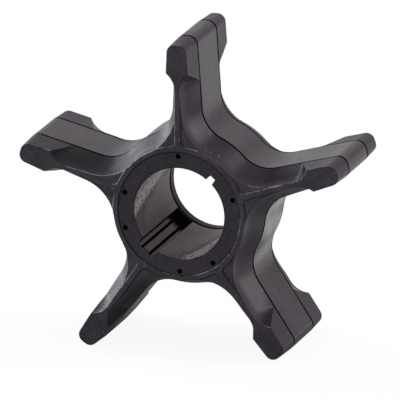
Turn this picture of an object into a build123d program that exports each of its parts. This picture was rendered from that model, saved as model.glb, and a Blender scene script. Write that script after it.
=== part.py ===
from build123d import *
import os
from math import atan2, cos, degrees, radians, sin, sqrt, tan

os.makedirs("parts", exist_ok=True)

# Flexible pump impeller, in millimetres: five rubber vanes on a hub bonded round a moulded bush.
# The shaft axis is Y, the front face looks along -Y, and Z is up with one vane standing straight up,
# so the part stands on the tips of its two lower vanes. The origin is on the axis at mid width.

# Bush and bore
bore_diameter = 19.2
bush_wall = 3.45
bush_recess = 0.15  # bush face below the rubber face
bush_edge = 0.15
bore_edge = 0.35
lip_length = 2.6  # rubber lip behind the bush
lip_edge = 0.4  # chamfer of the lip's inner edge
seam_edge = 0.4  # chamfer at the rear of the bush's bore

# Rubber body
vane_count = 5
body_width = 26.0  # along the shaft axis
hub_wall = 3.35  # rubber over the bush
vane_reach = 35.9  # axis to the end of a vane
vane_tip_width = 4.5  # thickness that the sides would have at the very end
vane_flare = 3.3  # degrees, lean of each side towards the root
tip_flat = 0.5  # left between the two rounded corners of a vane's end
root_radius = 7.0

# End sections, the same at the front and the rear
end_depth = 6.6  # face to parting line
end_draft = 2.2  # degrees
parting_width = 0.4
parting_depth = 0.3

# Pockets scooped out of each end between the vanes: a steep wall that bends into a sloping floor
scoop_inset = 2.35  # how far a pocket bites into the body at the face
wall_draft = 6.0  # degrees
knee_depth = 2.0  # where wall and floor would meet
knee_radius = 8.0
knee_stations = (0, 1 / 3, 2 / 3, 1)  # shares of the bend at which its sections are drawn
scoop_length = 9.1  # hub to where a pocket's side starts to curve out round the vane's pad
pad_radius = 4.8  # plan radius of that curve at the face
pad_deep_radius = 0.9  # the same at the parting line
pad_lean = 3.0  # how much nearer to the hub a pocket ends at the parting line
pad_turn = 75.0  # degrees
overrun = 0.4  # cutters reach past the surfaces that they cut

# Raised lines of each face
face_step = 0.3
rib_width = 1.25
collar_overhang = 0.15  # collar past the pocket's edge, so that the pocket trims it
rib_radius = 1.1
rib_flare_radius = 2.0

# Drive slot and the notch opposite
slot_angle = 228.0  # degrees from +X towards +Z
slot_width = 4.3
slot_depth = 1.05
relief_width = 0.5
relief_depth = 0.5
relief_places = (-0.85, 1.2)  # across the slot
notch_width = 1.7
notch_end_width = 1.3
notch_depth = 1.4

# Locating holes in the front face of the bush
pin_inset = 0.9  # pin centre to the edge of the bush
pin_diameter = 1.1
pin_depth = 5.0
pin_angles = (0, 72, 108, 180, 216, 288)  # degrees from the upright vane

bore_radius = bore_diameter / 2
bush_radius = bore_radius + bush_wall
hub_radius = bush_radius + hub_wall
collar_radius = hub_radius - scoop_inset + collar_overhang
tip_radius = (vane_tip_width - tip_flat) / 2
face_plane = Plane.XZ.offset(body_width / 2)
parting_plane = Plane.XZ.offset(body_width / 2 - end_depth)
bay_angle = 360 / vane_count
upright = 90  # degrees, direction of the first vane


def half_width(reach):
    """Half the thickness of a vane at a distance from the axis."""
    return vane_tip_width / 2 + (vane_reach - reach) * tan(radians(vane_flare))


def root_angle(inset):
    """Angle from a vane's middle to where its root fillet meets the hub, with the outline set in."""
    lean = radians(vane_flare)
    radius = root_radius + inset
    side = vane_reach * sin(lean) + vane_tip_width / 2 * cos(lean) - inset + radius
    along = sqrt((hub_radius - inset + radius) ** 2 - side**2)
    return degrees(atan2(side * cos(lean) - along * sin(lean), side * sin(lean) + along * cos(lean)))


def star_sketch(inset=0.0):
    """Outline of the hub with its vanes, set in by a distance."""
    with BuildSketch() as star:
        Circle(hub_radius - inset)
        end = vane_reach - inset
        side_shift = inset / cos(radians(vane_flare))
        root_half = half_width(0) - side_shift
        end_half = half_width(end) - side_shift
        with PolarLocations(0, vane_count, start_angle=upright):
            Polygon((0, root_half), (0, -root_half), (end, -end_half), (end, end_half), align=None)
        fillet(star.vertices().sort_by_distance((0, 0))[: 2 * vane_count], root_radius + inset)
        fillet(star.vertices().sort_by_distance((0, 0))[-2 * vane_count :], tip_radius - inset)
    return star.sketch


def scoop_profile():
    """Side view of a pocket, its bite into the body along X and its depth along Y."""
    lean = tan(radians(wall_draft))
    knee_inset = scoop_inset - knee_depth * lean
    slope = knee_inset / (end_depth - knee_depth)
    with BuildLine() as profile:
        FilletPolyline(
            (scoop_inset + overrun * lean, -overrun),
            (knee_inset, knee_depth),
            (-overrun * slope, end_depth + overrun),
            radius=knee_radius,
        )
    return profile.edges().sort_by(Axis.Y)


def pad_reach(inset, radius):
    """How far along a vane an arc takes the pocket's side from a given inset out to the vane's own side."""
    return sqrt(radius**2 - (radius - max(inset, 0)) ** 2)


def bay_section(inset, depth):
    """Plan of the pocket between two vanes at a depth, with the middle of the bay along X.

    Half of it runs from the open end round a vane's pad, down its side and round the hub.
    """
    share = inset / scoop_inset
    end_radius = max(pad_deep_radius, pad_radius * share)
    vane_angle = -bay_angle / 2
    inwards = 180 - vane_flare + vane_angle
    fillet_angle = vane_angle + root_angle(inset)
    fillet_radius = root_radius + inset
    pad_end = hub_radius + scoop_length + pad_reach(scoop_inset, pad_radius) - pad_lean * depth / end_depth
    flank_end = pad_end - pad_reach(inset, end_radius)
    flank_top = Vector(flank_end, half_width(flank_end) - inset / cos(radians(vane_flare)))
    flank_top = flank_top.rotate(Axis.Z, vane_angle)
    fillet_middle = Vector(hub_radius + root_radius, 0).rotate(Axis.Z, fillet_angle)
    flank_foot = fillet_middle + Vector(fillet_radius, 0).rotate(Axis.Z, inwards + 90)
    with BuildSketch(Plane.XY.offset(body_width / 2 - depth)) as section:
        with BuildLine():
            pad = JernArc(flank_top, Vector(-1, 0).rotate(Axis.Z, inwards), end_radius, pad_turn)
            flank = Line(flank_top, flank_foot)
            bend = JernArc(flank @ 1, flank % 1, fillet_radius, fillet_angle + 90 - inwards)
            JernArc(bend @ 1, bend % 1, hub_radius - inset, -fillet_angle)
            Line(pad @ 1, ((pad @ 1).X, 0))
            mirror(about=Plane.XZ)
        make_face()
    return section.sketch


# Cutter for the pocket between two vanes, drawn about Z with the face at its top
wall, knee, floor = scoop_profile()
with BuildPart() as bay_pocket:
    for spot in (wall @ 0, *knee.positions(knee_stations), floor @ 1):
        add(bay_section(spot.X, spot.Y))
    loft(ruled=True)

# Raised lines of a face: collar, ribs and tip pads
with BuildSketch() as raised_lines:
    Circle(collar_radius)
    with PolarLocations(0, vane_count, start_angle=upright):
        Rectangle(vane_reach, rib_width, align=(Align.MIN, Align.CENTER))
        with Locations((hub_radius + scoop_length + rib_flare_radius, 0)):
            Rectangle(vane_reach, 2 * vane_tip_width, align=(Align.MIN, Align.CENTER))
    fillet(raised_lines.vertices().sort_by_distance((0, 0))[: 2 * vane_count], rib_radius)
    rib_ends = raised_lines.vertices().sort_by_distance((0, 0))[4 * vane_count : 6 * vane_count]
    fillet(rib_ends, rib_flare_radius)

# Front half of the rubber body, without its bore
with BuildPart(Plane.XZ) as body_half:
    with BuildSketch(parting_plane):
        add(star_sketch())
    extrude(amount=end_depth - body_width / 2)
    with BuildSketch(parting_plane):
        add(star_sketch())
    extrude(amount=end_depth, taper=end_draft)
    with BuildSketch(parting_plane):
        add(star_sketch(-overrun))
        add(star_sketch(parting_depth), mode=Mode.SUBTRACT)
    extrude(amount=-parting_width, mode=Mode.SUBTRACT)
    with BuildSketch(face_plane):
        Circle(vane_reach + overrun)
        add(raised_lines.sketch, mode=Mode.SUBTRACT)
    extrude(amount=-face_step, mode=Mode.SUBTRACT)
    with PolarLocations(0, vane_count, start_angle=upright + bay_angle / 2):
        add(bay_pocket.part, mode=Mode.SUBTRACT)

# Rubber body: two halves back to back, bored for the bush with a lip left behind it
with BuildPart() as vane_body:
    add(body_half.part)
    add(body_half.part.rotate(Axis.Z, 180))
    with BuildSketch(Plane.XY) as bore_profile:
        with Locations((0, -body_width / 2)):
            Rectangle(bush_radius, body_width - lip_length, align=Align.MIN)
        with Locations((0, body_width / 2)):
            Rectangle(bore_radius, body_width, align=(Align.MIN, Align.MAX))
        lip_corner = bore_profile.vertices().sort_by_distance((bore_radius, body_width / 2 - lip_length))[0]
        chamfer(lip_corner, lip_edge)
    revolve(axis=Axis.Y, mode=Mode.SUBTRACT)

# Drive slot and notch, cut along the whole bush
slot_floor = bore_radius + slot_depth
notch_mouth = bore_radius - bore_edge
notch_floor = bore_radius + notch_depth
with BuildSketch() as drive_cuts:
    with Locations(Rotation(0, 0, slot_angle)):
        Rectangle(slot_floor, slot_width, align=(Align.MIN, Align.CENTER))
        with Locations(*((slot_floor, place) for place in relief_places)):
            Rectangle(2 * relief_depth, relief_width)
    with Locations(Rotation(0, 0, slot_angle + 180)):
        Polygon(
            (notch_mouth, notch_width / 2),
            (notch_mouth, -notch_width / 2),
            (notch_floor, -notch_end_width / 2),
            (notch_floor, notch_end_width / 2),
            align=None,
        )

# Bush: bored, keyed and drilled for the locating pins of the mould
bush_plane = face_plane.offset(-bush_recess)
bush_length = body_width - lip_length - bush_recess
with BuildPart(bush_plane) as hub_bush:
    with BuildSketch(Plane.XY) as bush_profile:
        with Locations((bore_radius, bush_recess - body_width / 2)):
            Rectangle(bush_radius - bore_radius, bush_length, align=Align.MIN)
        front_inner, front_outer = bush_profile.vertices().group_by(Axis.Y)[0].sort_by(Axis.X)
        rear_inner = bush_profile.vertices().group_by(Axis.Y)[-1].sort_by(Axis.X)[0]
        chamfer(front_inner, bore_edge)
        chamfer(front_outer, bush_edge)
        chamfer(rear_inner, seam_edge)
    revolve(axis=Axis.Y)
    with BuildSketch(bush_plane):
        add(drive_cuts.sketch)
    extrude(amount=-bush_length, mode=Mode.SUBTRACT)
    for angle in pin_angles:
        with PolarLocations(bush_radius - pin_inset, 1, start_angle=upright + angle):
            Hole(pin_diameter / 2, pin_depth)

vane_body.part.label = "vane_body"
hub_bush.part.label = "hub_bush"
export_step(vane_body.part, "parts/vane_body.step")
export_step(hub_bush.part, "parts/hub_bush.step")
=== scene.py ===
import bpy
from math import cos, pi, radians, sin
from mathutils import Matrix, Vector


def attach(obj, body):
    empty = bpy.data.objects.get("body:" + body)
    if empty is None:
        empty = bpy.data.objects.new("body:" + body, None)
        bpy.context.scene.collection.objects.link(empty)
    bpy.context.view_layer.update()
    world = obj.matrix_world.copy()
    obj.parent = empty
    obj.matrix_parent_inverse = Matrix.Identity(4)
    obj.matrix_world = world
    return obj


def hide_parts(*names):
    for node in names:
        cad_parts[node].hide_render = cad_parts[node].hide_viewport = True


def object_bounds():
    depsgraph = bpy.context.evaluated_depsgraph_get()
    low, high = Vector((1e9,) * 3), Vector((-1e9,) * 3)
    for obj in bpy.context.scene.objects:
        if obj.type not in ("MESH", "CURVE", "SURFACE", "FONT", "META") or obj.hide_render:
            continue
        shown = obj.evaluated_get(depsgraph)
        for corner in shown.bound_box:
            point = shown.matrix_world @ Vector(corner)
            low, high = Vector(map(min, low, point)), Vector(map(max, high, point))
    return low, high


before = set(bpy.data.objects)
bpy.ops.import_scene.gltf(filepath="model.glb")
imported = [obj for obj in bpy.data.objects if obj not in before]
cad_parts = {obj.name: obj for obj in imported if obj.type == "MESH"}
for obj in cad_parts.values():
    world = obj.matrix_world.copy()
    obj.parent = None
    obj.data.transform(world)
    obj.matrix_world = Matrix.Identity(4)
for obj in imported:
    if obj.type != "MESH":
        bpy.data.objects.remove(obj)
cad_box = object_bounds()
scene = bpy.context.scene
scene.view_settings.view_transform = "Standard"

# ---------------------------------------------------------------- camera
VIEW_AZIMUTH = 18.45
VIEW_ELEVATION = 16.0
VIEW_ROLL = -0.87
VIEW_OFFSET = Vector((-0.00434, -0.002889, -2.471))  # front face centre, seen from the camera
FRONT_FACE = Vector((0, -0.013, 0))
SENSOR = 36.0
LENS = 1093.5
CLIP_START, CLIP_END = 0.1, 20


def towards(azimuth, elevation):
    """Direction away from the part; azimuth 0 is in front of it, and counts towards +X."""
    az, el = radians(azimuth), radians(elevation)
    return Vector((sin(az) * cos(el), -cos(az) * cos(el), sin(el)))


def set_camera():
    """A long lens, so that the vanes keep their angles."""
    az, roll = radians(VIEW_AZIMUTH), radians(VIEW_ROLL)
    back = towards(VIEW_AZIMUTH, VIEW_ELEVATION)
    right = Vector((cos(az), sin(az), 0))
    up = back.cross(right)
    turned_right = right * cos(roll) + up * sin(roll)
    turned_up = up * cos(roll) - right * sin(roll)
    turn = Matrix((turned_right, turned_up, back)).transposed()
    camera = bpy.data.cameras.new("camera")
    camera.sensor_width = SENSOR
    camera.lens = LENS
    camera.clip_start = CLIP_START
    camera.clip_end = CLIP_END
    holder = bpy.data.objects.new("camera", camera)
    scene.collection.objects.link(holder)
    holder.matrix_world = Matrix.Translation(FRONT_FACE - turn @ VIEW_OFFSET) @ turn.to_4x4()
    scene.camera = holder


set_camera()

# ---------------------------------------------------------------- places on the part, in metres
HALF_WIDTH = 0.013
VANES = 5
PARTING_DEPTH = 0.0066  # face to the parting line
PARTING_WIDTH = 0.0004
STEP_DEPTH = 0.0003  # lands below the raised lines
RIB_EDGE = 0.0007  # from the middle of a vane
RIB_DUST = (0.0002, 0.0009)  # dust thins out over this distance from a rib's edge
RIB_DUST_END = (0.021, 0.024)  # and along the vane, before the pad

BORE_RADIUS = 0.0096
BORE_EDGE = 0.00035
BUSH_RADIUS = 0.01305
BUSH_FACE = -0.01285
BUSH_END = 0.0104
SLOT_ANGLE = radians(228)
SLOT_DIRECTION = (cos(SLOT_ANGLE), 0, sin(SLOT_ANGLE))
ACROSS_SLOT = (-sin(SLOT_ANGLE), 0, cos(SLOT_ANGLE))
SLOT_RADIUS = 0.01065
SLOT_LEFT_CORNER = (-0.0020, -0.0019)
SLOT_RIGHT_CORNER = (0.00205, 0.0021)
# Painted shade: the slot's floor turns black towards its far end
SLOT_DARK_END = (0.0035, 0.0068)
RELIEFS = (-0.00085, 0.0012)
RELIEF_EDGE = (0.00028, 0.00033)
PIN_HOLES_FROM = 0.0115  # radius past which a recess of the bush is a pin hole, painted black as shade
# Painted shade along the seam between bush and rubber, fainter on the outer chamfer
SEAM_FADE = (BUSH_RADIUS - 0.00025, BUSH_RADIUS - 0.00015)

# Border of the bore's rough side, pale partly as a painted reflection, as a distance towards the slot that grows
# along the shaft axis
BORDER_SLANT = 0.21
BORDER_SHIFT = 0.0007
BORDER_CLOUD = 0.0008
BORDER_FINE = 0.0009
ROUGH_FADE = (0.0052, 0.0041)
WEDGE_RISE = (0.0044, 0.0052)  # shaded strip beside the rough side
WEDGE_FALL = (0.0052, 0.0072)
# The rough side's pale painted reflection fades along the shaft axis, towards the rear
ROUGH_REAR = (-0.002, 0.007)


# ---------------------------------------------------------------- shader node groups
class Nodes:
    """Short calls for building a node tree."""

    def __init__(self, tree):
        self.tree = tree

    def add(self, kind, inputs=None, **settings):
        node = self.tree.nodes.new(kind)
        for name, value in settings.items():
            setattr(node, name, value)
        for name, value in (inputs or {}).items():
            self.set(node.inputs[name], value)
        return node

    def set(self, socket, value):
        if isinstance(value, bpy.types.NodeSocket):
            self.tree.links.new(value, socket)
        else:
            socket.default_value = value

    def math(self, operation, *values):
        node = self.add("ShaderNodeMath", operation=operation)
        for socket, value in zip(node.inputs, values):
            self.set(socket, value)
        return node.outputs[0]

    def vector(self, operation, first, second):
        return self.add("ShaderNodeVectorMath", {0: first, 1: second}, operation=operation).outputs

    def ramp(self, value, low, high, to_low=0.0, to_high=1.0):
        node = self.add("ShaderNodeMapRange", interpolation_type="SMOOTHSTEP")
        for socket, v in zip(node.inputs, (value, low, high, to_low, to_high)):
            self.set(socket, v)
        return node.outputs[0]

    def mix(self, share, first, second):
        node = self.add("ShaderNodeMix", data_type="RGBA")
        self.set(node.inputs["Factor"], share)
        self.set(node.inputs["A"], first)
        self.set(node.inputs["B"], second)
        return node.outputs["Result"]

    def shaded(self, color, shade):
        node = self.add("ShaderNodeVectorMath", {0: color[:3]}, operation="SCALE")
        self.set(node.inputs["Scale"], shade)
        return node.outputs[0]

    def noise(self, place, scale, detail, roughness):
        inputs = {"Vector": place, "Scale": scale, "Detail": detail, "Roughness": roughness}
        return self.add("ShaderNodeTexNoise", inputs).outputs[0]

    def axis_distance(self, x, z):
        return self.math("SQRT", self.math("ADD", self.math("MULTIPLY", x, x), self.math("MULTIPLY", z, z)))


FLOAT, VECTOR = "NodeSocketFloat", "NodeSocketVector"


def new_group(name, inputs, outputs):
    """An empty group; inputs and outputs are names with their kinds and, for inputs, usual values."""
    tree = bpy.data.node_groups.new(name, "ShaderNodeTree")
    for label, kind, value in inputs:
        socket = tree.interface.new_socket(label, in_out="INPUT", socket_type=kind)
        if value is not None:
            socket.default_value = value
    for label, kind in outputs:
        tree.interface.new_socket(label, in_out="OUTPUT", socket_type=kind)
    n = Nodes(tree)
    return n, n.add("NodeGroupInput").outputs, n.add("NodeGroupOutput").inputs


def dust_group():
    """Pale specks of dust: small dots, in a few of many cells."""
    n, given, out = new_group(
        "dust specks",
        [("Place", VECTOR, None), ("Cells", FLOAT, 2400.0), ("Share", FLOAT, 0.1), ("Size", FLOAT, 0.29)],
        [("Mask", FLOAT)],
    )
    cell = n.add("ShaderNodeTexVoronoi", {"Vector": given["Place"], "Scale": given["Cells"]})
    chance = n.add("ShaderNodeSeparateColor", {"Color": cell.outputs["Color"]})
    chosen = n.math("LESS_THAN", chance.outputs[0], given["Share"])
    radius = n.math("MULTIPLY", given["Size"], n.math("MULTIPLY_ADD", chance.outputs[1], 0.9, 0.35))
    dot = n.ramp(cell.outputs["Distance"], n.math("MULTIPLY", radius, 0.6), radius, 1.0, 0.0)
    n.set(out["Mask"], n.math("MULTIPLY", dot, chosen))
    return n.tree


def mottle_group():
    """Cloudy marks of handling and mould release, with finer ones inside them."""
    n, given, out = new_group(
        "mottle",
        [("Place", VECTOR, None), ("Cloud", FLOAT, 180.0), ("Fine", FLOAT, 1300.0)],
        [("Cloud", FLOAT), ("Fine", FLOAT)],
    )
    n.set(out["Cloud"], n.ramp(n.noise(given["Place"], given["Cloud"], 4.0, 0.6), 0.35, 0.65))
    n.set(out["Fine"], n.ramp(n.noise(given["Place"], given["Fine"], 4.0, 0.75), 0.38, 0.64))
    return n.tree


def vane_frame_group():
    """Where a point lies on its own vane: out along it, to the side of its middle, and below the face."""
    n, given, out = new_group("place on a vane", [("Place", VECTOR, None)], [("On Vane", VECTOR)])
    x, y, z = n.add("ShaderNodeSeparateXYZ", {0: given["Place"]}).outputs
    turns = n.math("DIVIDE", n.math("ARCTAN2", x, z), 2 * pi / VANES)
    turn = n.math("MULTIPLY", n.math("SUBTRACT", turns, n.math("ROUND", turns)), 2 * pi / VANES)
    radius = n.axis_distance(x, z)
    along = n.math("MULTIPLY", radius, n.math("COSINE", turn))
    aside = n.math("ABSOLUTE", n.math("MULTIPLY", radius, n.math("SINE", turn)))
    depth = n.math("SUBTRACT", HALF_WIDTH, n.math("ABSOLUTE", y))
    n.set(out["On Vane"], n.add("ShaderNodeCombineXYZ", {0: along, 1: aside, 2: depth}).outputs[0])
    return n.tree


def spot_group():
    """A soft round patch about a point."""
    n, given, out = new_group(
        "soft patch",
        [("Place", VECTOR, None), ("Middle", VECTOR, None), ("Reach", FLOAT, 0.001)],
        [("Mask", FLOAT)],
    )
    away = n.vector("DISTANCE", given["Place"], given["Middle"])["Value"]
    n.set(out["Mask"], n.ramp(away, n.math("MULTIPLY", given["Reach"], 0.2), given["Reach"], 1.0, 0.0))
    return n.tree


DUST = dust_group()
MOTTLE = mottle_group()
ON_VANE = vane_frame_group()
PATCH = spot_group()


def place_group(n, tree, **inputs):
    named = {k.replace("_", " "): v for k, v in inputs.items()}
    return n.add("ShaderNodeGroup", named, node_tree=tree).outputs


# ---------------------------------------------------------------- materials
DUST_COLOR = (0.55, 0.55, 0.57, 1)
DUST_ROUGHNESS = 0.8
MOTE_CELLS = 4200.0
MOTE_SIZE = 0.35
MOTE_LIGHT = 1.6  # motes are this much lighter than what they lie on
GRAIN_CELLS = 3500.0
GRAIN_HEIGHT = 0.00004
SCUFF_CELLS = 1400.0
SCUFF_DARK = 0.85
# Black of painted shade, in the bush's recesses and on the rear lip's step
PAINTED_SHADE_BLACK = (0.003, 0.003, 0.003, 1)
BUSH_FACE_COLOR = (0.066, 0.061, 0.073, 1)
BORE_COLOR = (0.128, 0.097, 0.113, 1)
# Rough side: real stipple, pale partly as a painted reflection
ROUGH_SIDE_REFLECTION_COLOR = (0.72, 0.67, 0.65, 1)
# Painted shade in the pits
PIT_COLOR = (0.03, 0.025, 0.03, 1)
PIT_STRETCH = (1, 0.4, 1)  # pits are drawn out along the shaft axis
COAT_ROUGHNESS = 0.34


def new_material(name, specular):
    material = bpy.data.materials.new(name)
    material.use_nodes = True
    shader = material.node_tree.nodes["Principled BSDF"]
    shader.inputs["Specular IOR Level"].default_value = specular
    return material, Nodes(material.node_tree), shader


def place_motes(n, place, share):
    return place_group(n, DUST, Place=place, Cells=MOTE_CELLS, Share=share, Size=MOTE_SIZE)["Mask"]


def grain(n, place):
    return n.noise(place, GRAIN_CELLS, 3.0, 0.6)


def set_surface(n, shader, color, rough, specks, texture, strength):
    """Dust over a colour and its roughness, and a fine texture."""
    n.set(shader.inputs["Base Color"], n.mix(specks, color, DUST_COLOR))
    n.set(shader.inputs["Roughness"], n.math("MAXIMUM", rough, n.math("MULTIPLY", specks, DUST_ROUGHNESS)))
    bump = n.add("ShaderNodeBump", {"Height": texture, "Strength": strength, "Distance": GRAIN_HEIGHT})
    n.set(shader.inputs["Normal"], bump.outputs[0])


def dust_by_ribs(n, place, dust, rib_dust):
    """Share of dust that rises beside the ribs."""
    on_vane = place_group(n, ON_VANE, Place=place)["On Vane"]
    along, aside, _ = n.add("ShaderNodeSeparateXYZ", {0: on_vane}).outputs
    by_rib = n.ramp(n.math("ABSOLUTE", n.math("SUBTRACT", aside, RIB_EDGE)), *RIB_DUST, 1.0, 0.0)
    by_rib = n.math("MULTIPLY", by_rib, n.ramp(along, *RIB_DUST_END, 1.0, 0.0))
    return n.math("MULTIPLY_ADD", by_rib, rib_dust, dust)


def moulded(name, color, specular, roughness, dust=0.012, cloud=0.2, pits=0.0, rib_dust=0.0, patches=()):
    """Moulded black rubber; how glossy it is depends on which face of the mould made it."""
    material, n, shader = new_material(name, specular)
    place = n.add("ShaderNodeTexCoord").outputs["Object"]
    marks = place_group(n, MOTTLE, Place=place)
    dust_share = dust_by_ribs(n, place, dust, rib_dust) if rib_dust else dust
    specks = place_group(n, DUST, Place=place, Share=dust_share)["Mask"]
    shade = n.math("MULTIPLY_ADD", marks["Cloud"], cloud, 1.0 - cloud / 2)
    shade = n.math("MULTIPLY_ADD", marks["Fine"], cloud, n.math("SUBTRACT", shade, cloud / 2))
    shade = n.math("MULTIPLY_ADD", place_motes(n, place, dust * 4), MOTE_LIGHT, shade)
    for middle, reach in patches:
        scuffed = place_group(n, PATCH, Place=place, Middle=middle, Reach=reach)["Mask"]
        scuffed = n.math("MULTIPLY", scuffed, n.ramp(n.noise(place, SCUFF_CELLS, 3.0, 0.7), 0.5, 0.6))
        shade = n.math("MULTIPLY", shade, n.math("MULTIPLY_ADD", scuffed, -SCUFF_DARK, 1.0))
    rough = n.math("MULTIPLY_ADD", marks["Cloud"], 0.08, roughness - 0.04)
    rough = n.math("MULTIPLY_ADD", marks["Fine"], 0.06, rough)
    texture = grain(n, place)
    if pits:
        texture = n.math("MULTIPLY_ADD", marks["Fine"], pits, texture)
    set_surface(n, shader, n.shaded(color, shade), rough, specks, texture, 0.25)
    return material


def recess_masks(n, y, radius, towards_slot, across):
    """The bore with its slot, and painted shade in the recesses: black on the slot's flanks, corners, reliefs and
    far end, in the pin holes and along the seam.
    """
    inside = n.ramp(y, BUSH_FACE + 0.00002, BUSH_FACE + 0.0001)
    past_edge = n.ramp(y, BUSH_FACE + BORE_EDGE - 0.0001, BUSH_FACE + BORE_EDGE)
    near_bore = n.ramp(radius, BORE_RADIUS + 0.0001, BORE_RADIUS + 0.0003, 1.0, 0.0)
    in_wall = n.math("MULTIPLY", past_edge, near_bore)
    slot_floor = n.ramp(towards_slot, SLOT_RADIUS - 0.00008, SLOT_RADIUS - 0.00004)
    in_slot = n.math("MULTIPLY", inside, slot_floor)
    past_bore = n.ramp(towards_slot, BORE_RADIUS + 0.00002, BORE_RADIUS + 0.00008)
    in_flank = n.math("MULTIPLY", inside, past_bore)
    reliefs = [
        n.ramp(n.math("ABSOLUTE", n.math("SUBTRACT", across, spot)), *RELIEF_EDGE, 1.0, 0.0) for spot in RELIEFS
    ]
    corner = n.math("MAXIMUM", n.ramp(across, *SLOT_LEFT_CORNER, 1.0, 0.0), n.ramp(across, *SLOT_RIGHT_CORNER))
    in_relief = n.math("MULTIPLY", in_flank, n.math("MAXIMUM", corner, n.math("MAXIMUM", *reliefs)))
    pin_holes = n.math("MULTIPLY", inside, n.ramp(radius, PIN_HOLES_FROM, PIN_HOLES_FROM + 0.0001))
    pin_holes = n.math("MULTIPLY", pin_holes, n.ramp(radius, *SEAM_FADE, 1.0, 0.6))
    in_relief = n.math("MAXIMUM", in_relief, pin_holes)
    slot_end = n.math("MULTIPLY", in_slot, n.ramp(y, *SLOT_DARK_END))
    seam = n.math("MULTIPLY", in_wall, n.ramp(y, BUSH_END - 0.0004, BUSH_END - 0.0003))
    # Painted shade: the slot's flanks, corners and reliefs, the pin holes, the slot's far end and the seam go black
    painted_shade = n.math("SUBTRACT", in_flank, in_slot)
    painted_shade = n.math("MAXIMUM", n.math("MAXIMUM", painted_shade, in_relief), n.math("MAXIMUM", slot_end, seam))
    return n.math("MAXIMUM", in_wall, in_slot), painted_shade


def rough_side_masks(n, place, y, towards_slot, marks):
    """The bore's rough side, pale partly as a painted reflection that fades away from the opening, the shaded strip
    that borders it, and its pits, painted dark as the shade in them.
    """
    border = n.math("MULTIPLY_ADD", marks["Cloud"], BORDER_CLOUD, towards_slot)
    border = n.math("MULTIPLY_ADD", y, BORDER_SLANT, border)
    border = n.math("MULTIPLY_ADD", marks["Fine"], BORDER_FINE, n.math("SUBTRACT", border, BORDER_SHIFT))
    wedge = n.math("MULTIPLY", n.ramp(border, *WEDGE_RISE), n.ramp(border, *WEDGE_FALL, 1.0, 0.0))
    rough_side_and_reflection = n.math("MULTIPLY", n.ramp(border, *ROUGH_FADE), n.ramp(y, *ROUGH_REAR, 1.0, 0.2))
    drawn = n.vector("MULTIPLY", place, PIT_STRETCH)[0]
    pits = place_group(n, DUST, Place=drawn, Cells=2300.0, Share=0.75, Size=0.5)["Mask"]
    return rough_side_and_reflection, wedge, n.math("MULTIPLY", rough_side_and_reflection, pits)


def bush_plastic():
    """Matt face and a paler bore, rough on the side of the notch and pale there partly as a painted reflection,
    with painted shade in its recesses.
    """
    material, n, shader = new_material("moulded bush", 0.0)  # all its gloss is in the coat
    place = n.add("ShaderNodeTexCoord").outputs["Object"]
    marks = place_group(n, MOTTLE, Place=place)
    specks = place_group(n, DUST, Place=place, Share=0.015)["Mask"]
    x, y, z = n.add("ShaderNodeSeparateXYZ", {0: place}).outputs
    radius = n.axis_distance(x, z)
    towards_slot = n.vector("DOT_PRODUCT", place, SLOT_DIRECTION)["Value"]
    across = n.vector("DOT_PRODUCT", place, ACROSS_SLOT)["Value"]
    bore, painted_shade = recess_masks(n, y, radius, towards_slot, across)
    rough_side_and_reflection, wedge, pits = rough_side_masks(n, place, y, towards_slot, marks)

    shade = n.math("MULTIPLY_ADD", marks["Cloud"], 0.2, n.math("MULTIPLY_ADD", marks["Fine"], 0.3, 0.75))
    shade = n.math("MULTIPLY_ADD", place_motes(n, place, 0.08), MOTE_LIGHT, shade)
    bore_shade = n.math("MULTIPLY_ADD", wedge, -0.45, shade)
    wall = n.mix(rough_side_and_reflection, n.shaded(BORE_COLOR, bore_shade), n.shaded(ROUGH_SIDE_REFLECTION_COLOR, shade))
    wall = n.mix(pits, wall, PIT_COLOR)
    color = n.mix(bore, n.shaded(BUSH_FACE_COLOR, shade), wall)
    color = n.mix(painted_shade, color, PAINTED_SHADE_BLACK)
    rough = n.math("MULTIPLY_ADD", marks["Cloud"], 0.12, 0.36)
    coat = n.math("MULTIPLY_ADD", bore, n.math("MULTIPLY_ADD", wedge, -0.3, 0.4), 0.38)
    bare = n.math("MAXIMUM", painted_shade, pits)
    n.set(shader.inputs["Coat Weight"], n.math("MULTIPLY", coat, n.math("SUBTRACT", 1.0, bare)))
    shader.inputs["Coat Roughness"].default_value = COAT_ROUGHNESS
    texture = n.math("MULTIPLY_ADD", pits, -2.0, grain(n, place))
    set_surface(n, shader, color, rough, specks, texture, 0.25)
    return material


SCUFFS = (  # places on the band, and how far each reaches
    ((0.0235, -0.001, 0.0105), 0.006),
    ((0.0205, 0.002, 0.0095), 0.005),
    ((-0.026, 0.0, 0.0112), 0.006),
)
WEAR_FACES = moulded("wear face rubber", (0.093, 0.085, 0.104, 1), 0.25, 0.5, dust=0.008, cloud=0.35, rib_dust=0.11)
END_SIDES = moulded("end rubber", (0.042, 0.035, 0.044, 1), 0.30, 0.36)
BAND = moulded("band rubber", (0.030, 0.021, 0.029, 1), 0.70, 0.27, cloud=0.55, pits=0.8, patches=SCUFFS)
# Painted shade: the parting groove and the rounding at its lips are near black, for the shade inside it
GROOVE = moulded("parting groove", (0.004, 0.004, 0.004, 1), 0.0, 0.8, dust=0.0)
# Painted highlight on rounded edges that lean towards the left lamps: pale and glossy, with some dust
PAINTED_HIGHLIGHT_EDGES = moulded("painted highlight edge rubber", (0.42, 0.42, 0.45, 1), 0.8, 0.34, dust=0.1, cloud=1.2)
# Painted shade on rounded edges that lean away from the left lamps
PAINTED_SHADE_EDGES = moulded("shaded edge rubber", (0.040, 0.036, 0.042, 1), 0.2, 0.6, dust=0.0)
REAR_LIP = moulded("rear lip rubber", (0.013, 0.011, 0.012, 1), 0.2, 0.45)
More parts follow.
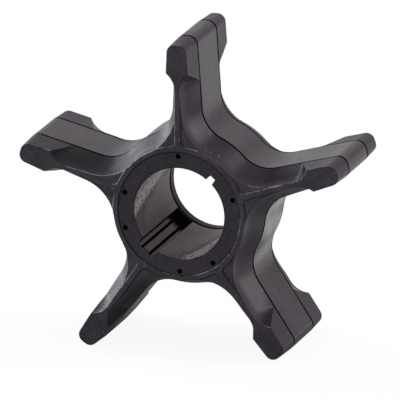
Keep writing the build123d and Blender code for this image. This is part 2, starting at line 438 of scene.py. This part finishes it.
# Painted shade: the rear lip's step at the bush's end and its rounded edges are black
LIP_CORNER = moulded("rear lip corner", PAINTED_SHADE_BLACK, 0.0, 0.8, dust=0.0)
BUSH = bush_plastic()

# ---------------------------------------------------------------- rubber body
WELD = 0.000002
SAME_PLANE = radians(0.4)
SHARP = radians(28)
EDGE_ROUND = 0.00012
ROUNDED = 4  # slot that the bevel gives its own faces
NEAR = 0.0001
UP_LEFT = Vector((-0.8, 0, 0.6))  # edges that look this way, towards the left lamps, get a painted highlight; those that look away get painted shade
HIGHLIGHT_FROM = 0.3
FINISHES = (END_SIDES, WEAR_FACES, BAND, GROOVE, PAINTED_HIGHLIGHT_EDGES, PAINTED_SHADE_EDGES, REAR_LIP, LIP_CORNER)


def finish_of(face, mesh):
    """Finish of a face, from its depth below the nearer end face and the way it looks."""
    y = face.center.y
    depth = HALF_WIDTH - abs(y)
    flat = abs(face.normal.y)
    rounded = face.material_index == ROUNDED
    corner = mesh.vertices[face.vertices[0]].co
    in_bore = Vector((corner.x, corner.z)).length < BUSH_RADIUS + NEAR
    if in_bore and BUSH_END - NEAR < y < HALF_WIDTH - STEP_DEPTH / 2:
        return LIP_CORNER if y < BUSH_END + NEAR or rounded else REAR_LIP
    # Rounded edges at the faces: painted highlight where they lean towards the left lamps, painted shade where they
    # lean away
    if rounded and depth < STEP_DEPTH * 1.5:
        lean = face.normal.dot(UP_LEFT)
        return PAINTED_HIGHLIGHT_EDGES if lean > HIGHLIGHT_FROM else WEAR_FACES if lean > 0 else PAINTED_SHADE_EDGES
    if depth < STEP_DEPTH * 1.5 and flat > 0.9:
        return WEAR_FACES
    if abs(depth - PARTING_DEPTH - PARTING_WIDTH / 2) < PARTING_WIDTH / 2 + EDGE_ROUND:
        return GROOVE
    if depth > PARTING_DEPTH + PARTING_WIDTH and flat < 0.1:
        return BAND
    return END_SIDES


def rubber_body():
    """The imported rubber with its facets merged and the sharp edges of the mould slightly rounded."""
    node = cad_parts["vane_body"]
    piece = bpy.data.objects.new("rubber_body", node.data.copy())
    scene.collection.objects.link(piece)
    bpy.ops.object.select_all(action="DESELECT")
    bpy.context.view_layer.objects.active = piece
    piece.select_set(True)
    bpy.ops.object.mode_set(mode="EDIT")
    bpy.ops.mesh.select_all(action="SELECT")
    bpy.ops.mesh.customdata_custom_splitnormals_clear()
    bpy.ops.mesh.remove_doubles(threshold=WELD)
    bpy.ops.mesh.dissolve_limited(angle_limit=SAME_PLANE)
    bpy.ops.object.mode_set(mode="OBJECT")
    bpy.ops.object.shade_smooth_by_angle(angle=SHARP)
    piece.data.materials.clear()
    for material in FINISHES:
        piece.data.materials.append(material)
    edges = piece.modifiers.new("edges", "BEVEL")
    edges.width = EDGE_ROUND
    edges.material = ROUNDED
    edges.segments = 2
    edges.limit_method = "ANGLE"
    edges.angle_limit = SHARP
    edges.use_clamp_overlap = False
    edges.harden_normals = True
    bpy.ops.object.modifier_apply(modifier=edges.name)
    normals = piece.modifiers.new("normals", "WEIGHTED_NORMAL")
    normals.keep_sharp = True
    bpy.ops.object.modifier_apply(modifier=normals.name)
    for face in piece.data.polygons:
        face.material_index = FINISHES.index(finish_of(face, piece.data))
    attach(piece, "root")
    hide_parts("vane_body")


rubber_body()
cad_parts["hub_bush"].material_slots[0].material = BUSH

# ---------------------------------------------------------------- floor and light
FLOOR_SIZE = 6.0
FLOOR_LIT = (0.35, 0.33, 0.34, 1)
FLOOR_SEEN = (0.85, 0.85, 0.85, 1)
FLOOR_GLOW = 1.08
SEEN_GLOW = 0.85
# Painted shadow and pool of light, seen only in gloss: the floor's glow is dim under the part and bright in a ring
# round it
MIRRORED_REACH = (0.045, 0.11)
MIRRORED_SHARE = (0.10, 0.48)
BRIGHT_RING_IN = (0.045, 0.060)
BRIGHT_RING_OUT = (0.075, 0.095)
LAMP_DISTANCE = 2.8


def floor_material():
    """Pale to the camera; in gloss a painted reflection: dim under the part as a painted shadow, brightest in a
    ring round it as a painted pool of light, then pale again.
    """
    material = bpy.data.materials.new("pale floor")
    material.use_nodes = True
    tree = material.node_tree
    n = Nodes(tree)
    tree.nodes.remove(tree.nodes["Principled BSDF"])
    path = n.add("ShaderNodeLightPath").outputs
    diffuse = n.add("ShaderNodeBsdfDiffuse", {"Color": n.mix(path["Is Camera Ray"], FLOOR_LIT, FLOOR_SEEN)})
    glow = n.add("ShaderNodeEmission", {"Color": (1, 1, 1, 1), "Strength": FLOOR_GLOW})
    place = n.add("ShaderNodeTexCoord").outputs["Object"]
    away = n.add("ShaderNodeVectorMath", {0: place}, operation="LENGTH").outputs["Value"]
    ring = n.math("MULTIPLY", n.ramp(away, *BRIGHT_RING_IN), n.ramp(away, *BRIGHT_RING_OUT, 1.0, 0.0))
    mirrored = n.math("MAXIMUM", n.ramp(away, *MIRRORED_REACH, *MIRRORED_SHARE), ring)
    mirrored = n.math("MULTIPLY", path["Is Glossy Ray"], mirrored)
    mirrored = n.math("MAXIMUM", mirrored, path["Is Transmission Ray"])
    seen = n.math("MAXIMUM", n.math("MULTIPLY", path["Is Camera Ray"], SEEN_GLOW), mirrored)
    mix = n.add("ShaderNodeMixShader", {0: seen})
    tree.links.new(diffuse.outputs[0], mix.inputs[1])
    tree.links.new(glow.outputs[0], mix.inputs[2])
    tree.links.new(mix.outputs[0], tree.nodes["Material Output"].inputs["Surface"])
    return material


def pale_floor():
    bpy.ops.object.select_all(action="DESELECT")
    bpy.ops.mesh.primitive_plane_add(size=FLOOR_SIZE, location=(0, 0, cad_box[0].z))
    floor = bpy.context.object
    floor.name = "floor"
    floor.data.materials.append(floor_material())


def studio_world(color, strength):
    world = bpy.data.worlds.new("studio")
    scene.world = world
    world.use_nodes = True
    background = world.node_tree.nodes["Background"]
    background.inputs["Color"].default_value = color
    background.inputs["Strength"].default_value = strength


def softbox(name, azimuth, elevation, size, power, color):
    """A lamp that faces the part."""
    away = towards(azimuth, elevation)
    light = bpy.data.lights.new(name, "AREA")
    light.shape = "RECTANGLE"
    light.size, light.size_y = size
    light.energy = power
    light.color = color
    holder = bpy.data.objects.new(name, light)
    scene.collection.objects.link(holder)
    holder.location = away * LAMP_DISTANCE
    holder.rotation_euler = (-away).to_track_quat("-Z", "Y").to_euler()


pale_floor()
studio_world((1, 0.95, 1, 1), 0.38)
softbox("left window", -113, 37, (1.9, 1.1), 20, (0.78, 0.92, 1.0))
softbox("left card", -121, 10, (2.0, 1.1), 19, (0.98, 0.96, 1.0))
softbox("right softbox", 107, 25, (1.5, 2.3), 42, (1.0, 0.95, 0.98))
softbox("back panel", -168, 14, (2.4, 1.5), 3.2, (1.0, 0.96, 1.0))
